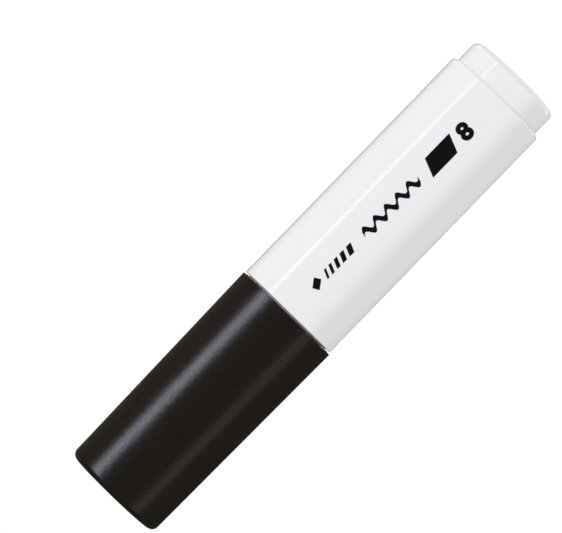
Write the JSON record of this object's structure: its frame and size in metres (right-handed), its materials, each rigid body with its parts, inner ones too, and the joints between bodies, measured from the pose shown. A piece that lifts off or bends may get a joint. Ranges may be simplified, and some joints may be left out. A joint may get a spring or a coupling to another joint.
{
  "type": "paint marker",
  "caption": "Thick cylindrical calligraphy marker: tapered pull-off cap, smooth barrel with a stepped tail plug, broad chisel nib that presses in to open a spring valve, loose mixing balls.",
  "frame": {"origin": "centre of the tail plug's end face, on the marker's axis", "axes": "+Z along the marker's axis from the tail to the cap; -Y is the printed side of the barrel; the nib's broad edge runs along X"},
  "size_m": [0.0268, 0.0268, 0.13],
  "materials": {
    "cap_black": "satin, fine moulded grain",
    "barrel_white": "gloss, smooth moulded",
    "holder_white": "semi-matt moulded",
    "liner_natural": "natural translucent polyethylene",
    "valve_plastic": "natural polypropylene",
    "nib_felt": "bonded fibre, fine cut",
    "seal_rubber": "matt",
    "spring_steel": "drawn stainless wire",
    "ball_steel": "ground and polished"
  },
  "bodies": {
    "barrel": {"barrel": "barrel_white", "tail_plug": "barrel_white", "nib_holder": "holder_white", "holder_seal": "seal_rubber", "valve_seat": "valve_plastic", "valve_gasket": "seal_rubber", "valve_cage": "valve_plastic", "valve_spring": "spring_steel"},
    "cap": {"cap_shell": "cap_black", "inner_cap": "liner_natural"},
    "plunger": {"nib": "nib_felt", "nib_socket": "valve_plastic", "valve_stem": "valve_plastic"},
    "ball_1": {"mixing_ball_1": "ball_steel"},
    "ball_2": {"mixing_ball_2": "ball_steel"}
  },
  "joints": [
    {"name": "cap_pull", "type": "slide", "parent": "barrel", "child": "cap", "axis": [0, 0, 1], "range_m": [0, 0.055]},
    {"name": "nib_press", "type": "slide", "parent": "barrel", "child": "plunger", "axis": [0, 0, -1], "range_m": [0, 0.002], "stiffness_N_per_m": 400, "springref_m": -0.005, "deforming": ["valve_spring"]},
    {"name": "ball_1_rattle", "type": "slide", "parent": "barrel", "child": "ball_1", "axis": [0, 0, 1], "range_m": [0, 0.048]},
    {"name": "ball_2_rattle", "type": "slide", "parent": "barrel", "child": "ball_2", "axis": [0, 0, 1], "range_m": [0, 0.048]}
  ]
}
